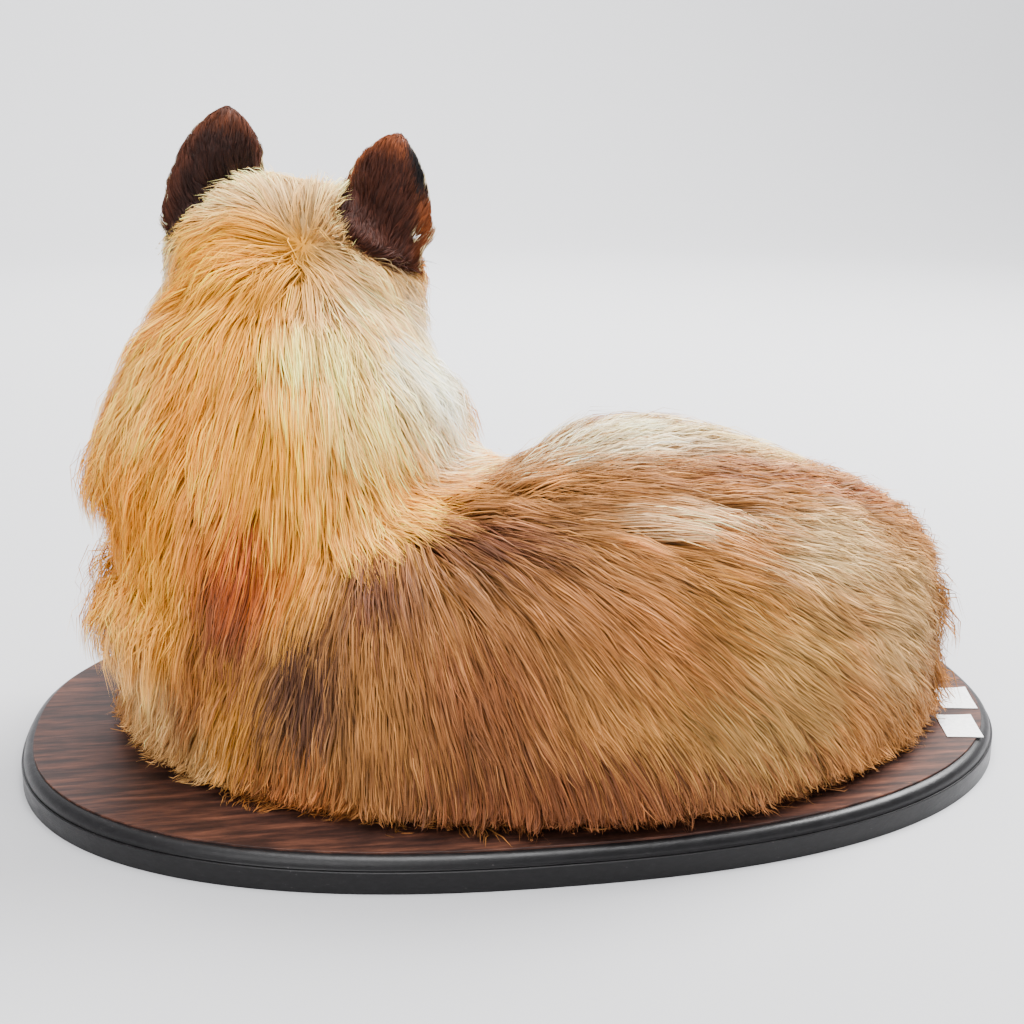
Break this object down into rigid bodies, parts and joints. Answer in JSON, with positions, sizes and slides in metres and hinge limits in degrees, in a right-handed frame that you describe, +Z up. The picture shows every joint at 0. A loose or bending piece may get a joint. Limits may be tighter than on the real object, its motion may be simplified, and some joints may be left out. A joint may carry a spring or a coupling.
{
  "type": "taxidermy fox",
  "caption": "Mounted red fox, life size, lying curled with its head raised and turned over its side, on an oval wooden board.",
  "frame": {"origin": "middle of the board's underside", "axes": "+X along the board's length, from the fox's head end to its rump; +Y to the side its face looks to; +Z up"},
  "size_m": [0.5994, 0.4096, 0.3814],
  "materials": {
    "coat_red": "long red-gold fur on skin",
    "coat_flank": "long brown and tan fur on skin",
    "coat_pale": "long cream fur on skin",
    "coat_dark": "short dark brown fur on skin",
    "eye_glass": "polished glass eye, amber iris with a slit pupil",
    "nose_pad": "black, finely pebbled, slight sheen",
    "board_paint": "moulded wooden board, black satin paint",
    "veneer": "thin reddish-brown veneer, worn varnish",
    "label_paper": "plain white card"
  },
  "bodies": {
    "root": {"base_board": "board_paint", "base_veneer": "veneer", "base_label_1": "label_paper", "base_label_2": "label_paper", "trunk": "coat_flank", "neck": "coat_red", "head": "coat_red", "ear_left": "coat_dark", "ear_right": "coat_dark", "eye_left": "eye_glass", "eye_right": "eye_glass", "nose": "nose_pad", "foreleg_left": "coat_dark", "forepaw_left": "coat_dark", "foreleg_right": "coat_dark", "forepaw_right": "coat_dark", "hindleg_right": "coat_red", "hindpaw_right": "coat_dark", "hindleg_left": "coat_dark", "hindpaw_left": "coat_dark", "tail_tip": "coat_pale", "tail_brush": "coat_red", "tail_root": "coat_red"}
  },
  "joints": []
}
